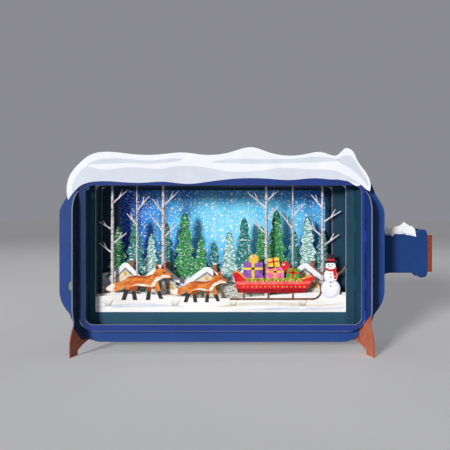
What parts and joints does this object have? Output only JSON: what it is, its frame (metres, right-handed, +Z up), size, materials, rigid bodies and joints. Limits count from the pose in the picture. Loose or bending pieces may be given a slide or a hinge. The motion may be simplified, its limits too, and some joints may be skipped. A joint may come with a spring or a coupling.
{
  "type": "greeting card",
  "caption": "Pop-up greeting card shaped like a bottle lying on its side, with layered winter scene behind a window, folded side walls and feet.",
  "frame": {"origin": "middle of the card's box, on the surface it stands on", "axes": "+X along the bottle towards its neck, +Y from the front to the back, +Z up"},
  "size_m": [0.2958, 0.068, 0.1558],
  "materials": {
    "blue_card": "satin print",
    "snow_card": "satin print",
    "teal_card": "satin print",
    "birch_card": "satin print",
    "cottage_card": "satin print",
    "fir_card": "satin print",
    "sky_card": "satin print",
    "cork_card": "satin print"
  },
  "bodies": {
    "root": {"side_wall_left": "blue_card", "side_wall_right": "blue_card", "front_frame": "blue_card", "snow_cap": "snow_card", "bottle_front": "blue_card", "figures_frame": "teal_card", "birch_frame": "birch_card", "cottage_frame": "cottage_card", "fir_frame": "fir_card", "bottle_mid": "blue_card", "bottle_back": "sky_card", "cork": "cork_card", "neck_snow": "snow_card"}
  },
  "joints": []
}
